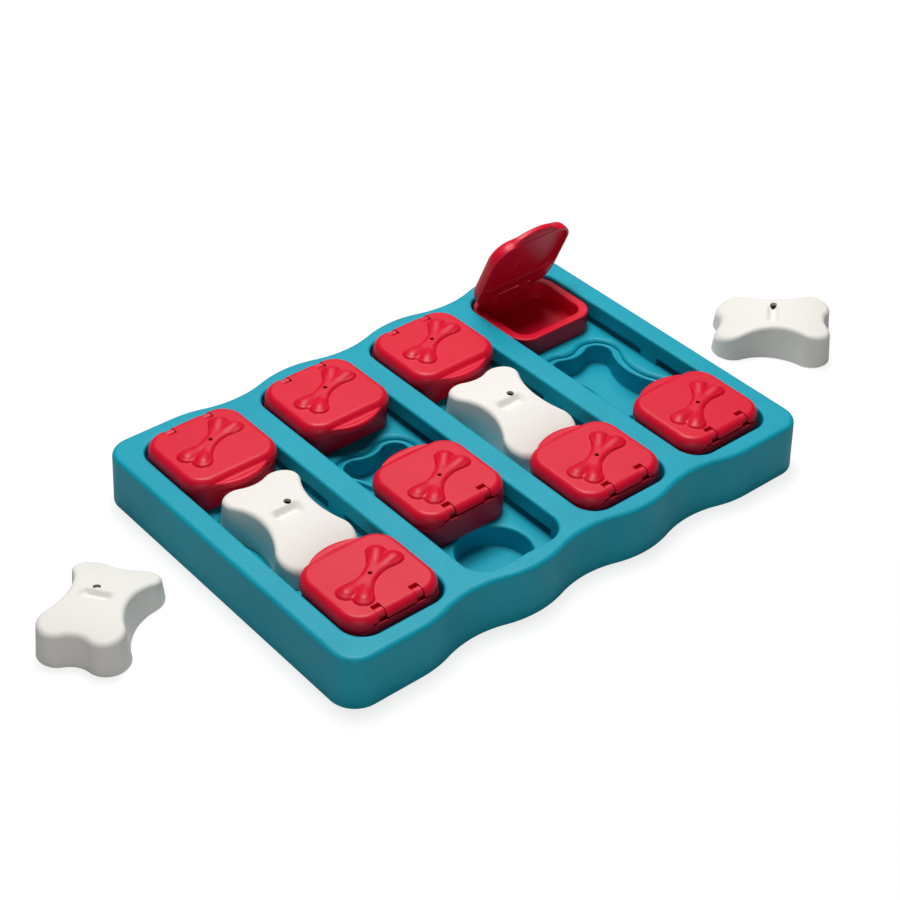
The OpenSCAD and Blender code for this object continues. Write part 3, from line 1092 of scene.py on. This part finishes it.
    def lid(self) -> bpy.types.Object:
        """Builds the lid.

        Returns:
            The lid's piece, closed.
        """
        skin = Skin()
        piece = skin.ends(skin.stack(self.lid_rows())).made("lid_shell")
        wall = 1.5
        hinge_side = self.hinge_y - 5.0
        back, front = hinge_side - wall, self.depth / 2 - self.lid_depth + wall
        low = Outline.rounded(self.width - 2 * wall, back - front, self.lid_corner - wall)
        dish = Skin()
        profile = [(0.0, self.lid_z - 3.0), *bend(-3.2, 31.5, 3.2, 0, 90, 8)]
        dish.ends(dish.sweep(low.moved(0, (back + front) / 2), profile))
        under = Outline.rounded(2 * self.bridge + 0.8, PAST, 0.5, 1, 200).moved(0, hinge_side + PAST / 2)
        hole = Outline.circle(1.3, 30).moved(0.02, 0.03)
        tools = [
            (Join.CUT, dish),
            (Join.CUT, self.swing_room(PAST)),
            (Join.CUT, Skin().block(under, self.lid_z - 9, self.hinge_z - 1.1)),
            (Join.ADD, self.relief_skin()),
            (Join.CUT, Skin().block(hole, self.lid_z, self.lid_top + 4)),
        ]
        half = self.slot / 2
        for side in (-1, 1):
            x = side * self.hinge_x
            slot = Outline.rounded(self.slot, PAST, 0.3, 2, 100)
            slot = slot.moved(x, self.hinge_y - self.slot_back + PAST / 2)
            pin = Skin().block(Outline.circle(self.pin, 24), -half - 0.4, half + 0.4)
            tools += [
                (Join.CUT, Skin().block(slot, self.lid_z - 9, self.lid_top + 9)),
                (Join.ADD, pin.turned(self.on_hinge(x))),
            ]
        return soften(carve(piece, tools), 35)


@dataclass
class BoxPlace:
    """Where one box stands.

    Attributes:
        number: The channel, counted from 1 at the left.
        y: Place of its middle; a box in the front half has its hinge side at the front.
        opening: How far its lid is open, in degrees.
    """

    number: int
    y: float
    opening: float = 0.0

    @property
    def name(self) -> str:
        """The ending of the names of the box's parts."""
        return f"{self.number}_{'back' if self.y > 0 else 'front'}"

    def tray_place(self, board: Board) -> Matrix:
        """Returns the tray's place in the frame, in metres."""
        turn = Matrix.Rotation(0.0 if self.y > 0 else math.pi, 4, "Z")
        return Matrix.Translation((board.channel_x(self.number) * MM, self.y * MM, 0)) @ turn

    def lid_place(self, board: Board, box: Box) -> Matrix:
        """Gives the lid's place.

        Args:
            board: The board that the box stands in.
            box: The box.

        Returns:
            The place in the frame, in metres.
        """
        line = Matrix.Translation((0, box.hinge_y * MM, box.hinge_z * MM))
        swing = Matrix.Rotation(math.radians(-self.opening), 4, "X")
        return self.tray_place(board) @ line @ swing @ line.inverted()


@dataclass
class BoxSet:
    """All the boxes, which share one tray mesh and one lid mesh.

    Attributes:
        box: The box that is repeated.
        places: Where each one stands.
    """

    box: Box = field(default_factory=Box)
    places: tuple[BoxPlace, ...] = (
        BoxPlace(1, 71.9), BoxPlace(1, -70.2), BoxPlace(2, 71.9), BoxPlace(2, -30.3),
        BoxPlace(3, 71.9), BoxPlace(3, -70.2), BoxPlace(4, 71.9, opening=67.0), BoxPlace(4, -70.2),
    )

    def build(self, board: Board) -> list[tuple[bpy.types.Object, str]]:
        """Builds every tray and lid.

        Args:
            board: The board that they stand in.

        Returns:
            Each piece with the CAD node that it stands for.
        """
        tray, lid = self.box.tray(), self.box.lid()
        pieces = []
        for place in self.places:
            for model, kind, where in ((tray, "tray", place.tray_place(board)),
                                       (lid, "lid", place.lid_place(board, self.box))):
                piece = model.copy()
                piece.name = f"{kind}_{place.name}_shell"
                bpy.context.scene.collection.objects.link(piece)
                piece.matrix_world = where
                pieces.append((piece, f"{kind}_{place.name}"))
        bpy.data.objects.remove(tray)
        bpy.data.objects.remove(lid)
        return pieces

    def dress(self, pieces: Sequence[tuple[bpy.types.Object, str]], finishes: Finishes) -> None:
        """Gives the boxes their finish and their places in the frame.

        Args:
            pieces: Each piece with the CAD node that it stands for.
            finishes: The finishes.
        """
        for data in {piece.data for piece, _ in pieces}:
            paint(data, finishes.red)
        for piece, node in pieces:
            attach(piece, node)
            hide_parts(node)


# ---- bones


@dataclass
class BoneCover:
    """A hollow bone shaped cover with a crowned top, a finger grip and a hole.

    Attributes:
        node: The CAD node that it stands for.
        x: Place along X.
        y: Place along Y.
        z: Height of its foot.
        turn: Angle in degrees.
        grip: Place of the finger grip on its top.
        hole: Place of the hole in its top.
        shape: Its plan at the top.
        height: Height in the middle.
        flare: How far its foot stands out past its top.
        wall: Wall thickness.
        roof: Thickness of the top.
        crown: Radius of the crowned top.
        shift: Distance of the crown's highest line from the middle.
        edge: Radius of the upper edge.
    """

    node: str
    x: float
    y: float
    z: float = 0.0
    turn: float = 0.0
    grip: tuple[float, float] = (-0.6, 1.0)
    hole: tuple[float, float] = (3.7, 5.8)
    shape: BoneShape = COVER_PLAN
    height: float = 22.3
    flare: float = 2.2
    wall: float = 1.4
    roof: float = 2.0
    crown: float = 100.0
    shift: float = 11.6
    edge: float = 3.0

    def crown_height(self, y: np.ndarray) -> np.ndarray:
        """Returns the height of the crowned top over the foot."""
        rise = self.crown - math.sqrt(self.crown**2 - self.shift**2)
        return self.height + rise - self.crown + np.sqrt(self.crown**2 - (y - self.shift) ** 2)

    def grip_depth(self, points: np.ndarray) -> np.ndarray:
        """Gives the depth of the finger grip, which is steep beside the hole and fades away from it.

        Args:
            points: Places in the cover's plan.

        Returns:
            The depth at each place.
        """
        toward = self.hole[1] - self.grip[1]
        steep, slope = (3.1, 7.6) if abs(toward) > 3 else (4.4, 4.4)
        flat, end, depth = 5.6, 4.8, 3.1
        far_x = np.maximum(np.abs(points[:, 0] - self.grip[0]) - flat, 0) / end
        over = (points[:, 1] - self.grip[1]) * math.copysign(1, toward)
        far_y = np.where(over > 0, over / steep, -over / slope)
        return depth * (1 - ease(np.sqrt(far_x**2 + far_y**2)))

    def shell(self, skin: Skin, inset: float, drop: float, edge: float, foot: float) -> list[Ring]:
        """Adds one skin of the cover, from its foot to the middle of its top.

        Args:
            skin: The mesh.
            inset: Distance inside the outer sides.
            drop: Distance under the outer top.
            edge: Radius of the upper edge.
            foot: Radius of the lower edge.

        Returns:
            The rows' vertices.
        """
        outline = self.shape.outline(16)
        top = self.crown_height(outline.points[:, 1]) - drop
        lean = self.flare / self.crown_height(np.array([self.shift]))[0]
        rows = [(outline.at(self.flare - inset - foot), 0.0)] if foot else []
        rows.append((outline.at(self.flare - inset - lean * foot), foot))
        middle = self.flare - inset - edge
        for share in (0.5, 1.0):
            z = foot + (top - edge - foot) * share
            rows.append((outline.points + (self.flare - inset - lean * z)[:, None] * outline.normals, z))
        for angle in np.radians(np.linspace(0, 90, 8)[1:]):
            inward = middle - lean * (top - edge) + edge * math.cos(angle)
            points = outline.points + inward[:, None] * outline.normals
            z = self.crown_height(points[:, 1]) - drop - edge * (1 - math.sin(angle))
            rows.append((points, z))
        last = rows[-1][0]
        for scale in np.concatenate([np.linspace(0.97, 0.06, 36), [0.03]]):
            points = last * scale
            rows.append((points, self.crown_height(points[:, 1]) - drop - self.grip_depth(points)))
        return skin.stack(rows)

    def build(self) -> bpy.types.Object:
        """Builds the cover.

        Returns:
            The cover's piece, in its place.
        """
        skin = Skin()
        outer = self.shell(skin, 0.0, 0.0, self.edge, 0.5)
        inner = self.shell(skin, self.wall, self.roof, 1.6, 0.0)
        skin.band(outer[0], inner[0])
        skin.mesh.faces.new(outer[-1])
        skin.mesh.faces.new(inner[-1][::-1])
        piece = skin.made(f"{self.node}_shell")
        bore = Outline.circle(2.1, 32).moved(*self.hole)
        carve(piece, [(Join.CUT, Skin().block(bore, self.height / 2, self.height + 9))])
        soften(piece, 40)
        turn = Matrix.Rotation(math.radians(self.turn), 4, "Z")
        piece.matrix_world = Matrix.Translation((self.x * MM, self.y * MM, self.z * MM)) @ turn
        return piece

    def dress(self, piece: bpy.types.Object, finishes: Finishes) -> None:
        """Gives the cover its finish and its place in the frame.

        Args:
            piece: The cover's piece.
            finishes: The finishes.
        """
        paint(piece.data, finishes.white)
        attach(piece, self.node)
        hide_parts(self.node)


@dataclass
class CoverSet:
    """The four covers, of which two stand in the board and two lie beside it.

    Attributes:
        seated: Node and channel of each cover that stands in the board.
        loose: The covers that lie beside the board.
    """

    seated: tuple[tuple[str, int], ...] = (("bone_1", 1), ("bone_3", 3))
    loose: tuple[BoneCover, ...] = (
        BoneCover("bone_loose_left", -224.2, 21.1, turn=126.3, grip=(1.4, -0.4), hole=(3, -5.5)),
        BoneCover("bone_loose_right", 244.4, -15.6, turn=-137.8, grip=(0.2, -0.6), hole=(-8.6, -0.5)),
    )

    def covers(self, board: Board) -> list[BoneCover]:
        """Gives every cover its place.

        Args:
            board: The board that two of them stand in.

        Returns:
            The covers.
        """
        foot = board.floor - board.groove
        seated = [BoneCover(node, board.channel_x(number), 0.0, foot) for node, number in self.seated]
        return [*seated, *self.loose]


# ---- studio


@dataclass
class Studio:
    """The floor, the lamps and the camera.

    Attributes:
        lens: Focal length in millimetres.
        sensor: Width of the sensor in millimetres.
        clip: Nearest and farthest distance that the camera sees, in metres.
        eye: Place of the camera in millimetres.
        azimuth: Direction of view round the object in degrees.
        elevation: Height of view in degrees.
        roll: Roll of the camera in degrees.
        floor_radius: Radius of the floor in millimetres.
        floor_gap: Distance of the floor under the object in millimetres.
        ambient: Strength of the even light from all round.
        lamps: Name, place in metres, side in metres and power in watts of each lamp.
    """

    lens: float = 80.46
    sensor: float = 36.0
    clip: tuple[float, float] = (0.05, 20.0)
    eye: tuple[float, float, float] = (-593.5, -677.7, 715.7)
    azimuth: float = -40.91
    elevation: float = 37.65
    roll: float = 1.63
    floor_radius: float = 6000.0
    floor_gap: float = 0.2
    ambient: float = 0.03
    lamps: tuple[tuple[str, tuple[float, float, float], float, float], ...] = (
        ("key", (0.12, 0.32, 1.7), 0.65, 25),
        ("sheen", (0.72, 0.83, 1.42), 0.8, 7),
        ("fill", (-1.0, -1.15, 0.42), 0.9, 3.6),
    )

    def camera(self) -> None:
        """Places the camera."""
        data = bpy.data.cameras.new("camera")
        data.lens, data.sensor_width = self.lens, self.sensor
        data.clip_start, data.clip_end = self.clip
        camera = bpy.data.objects.new("camera", data)
        a, e, r = (math.radians(v) for v in (self.azimuth, self.elevation, self.roll))
        back = Vector((math.sin(a) * math.cos(e), -math.cos(a) * math.cos(e), math.sin(e)))
        right = Vector((math.cos(a), math.sin(a), 0.0))
        up = back.cross(right)
        side = right * math.cos(r) + up * math.sin(r)
        over = up * math.cos(r) - right * math.sin(r)
        turn = Matrix((side, over, back)).transposed().to_4x4()
        camera.matrix_world = Matrix.Translation(Vector(self.eye) * MM) @ turn
        bpy.context.scene.collection.objects.link(camera)
        bpy.context.scene.camera = camera

    def lamp(self, name: str, place: tuple[float, float, float], size: float, power: float) -> None:
        """Adds a square soft lamp that faces the board.

        Args:
            name: Name of the lamp.
            place: Its place in metres.
            size: Length of its side in metres.
            power: Its power in watts.
        """
        data = bpy.data.lights.new(name, "AREA")
        data.shape, data.size, data.energy = "SQUARE", size, power
        lamp = bpy.data.objects.new(name, data)
        lamp.location = place
        lamp.rotation_mode = "QUATERNION"
        lamp.rotation_quaternion = Vector(place).to_track_quat("Z", "Y")
        bpy.context.scene.collection.objects.link(lamp)

    def floor(self) -> None:
        """Lays the floor."""
        skin = Skin()
        skin.mesh.faces.new(skin.ring(Outline.circle(self.floor_radius, 64).at(), 0.0))
        floor = skin.made("floor")
        floor.location.z = -self.floor_gap * MM
        floor.data.materials.append(StudioFloor().material())

    def world(self) -> None:
        """Makes the even light from all round, which the camera sees as white."""
        world = bpy.data.worlds.new("studio")
        bpy.context.scene.world = world
        shop = Shop(world)
        soft, plain = (shop.node("ShaderNodeBackground", None, {"Color": (1, 1, 1, 1), "Strength": power})
                       for power in (self.ambient, 1.0))
        seen = shop.node("ShaderNodeLightPath", output="Is Camera Ray")
        surface = shop.node("ShaderNodeMixShader", None, {0: seen, 1: soft, 2: plain})
        shop.node("ShaderNodeOutputWorld", None, {"Surface": surface})

    def build(self) -> None:
        """Sets up the whole studio."""
        bpy.context.scene.view_settings.view_transform = "Standard"
        self.camera()
        self.floor()
        self.world()
        for lamp in self.lamps:
            self.lamp(*lamp)


def report(piece: bpy.types.Object) -> None:
    """Logs how many faces a piece has."""
    LOG.info("%s has %d faces", piece.name, len(piece.data.polygons))


def main() -> None:
    """Builds the feeder over its frame and sets up the studio."""
    logging.basicConfig(level=logging.INFO, format="%(name)s: %(message)s")
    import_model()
    Studio().build()
    finishes = Finishes()
    board = Board()
    shell = board.build()
    board.dress(shell, finishes)
    report(shell)
    boxes = BoxSet()
    pieces = boxes.build(board)
    boxes.dress(pieces, finishes)
    for piece, _ in pieces:
        report(piece)
    for cover in CoverSet().covers(board):
        piece = cover.build()
        cover.dress(piece, finishes)
        report(piece)


if __name__ == "__main__":
    main()
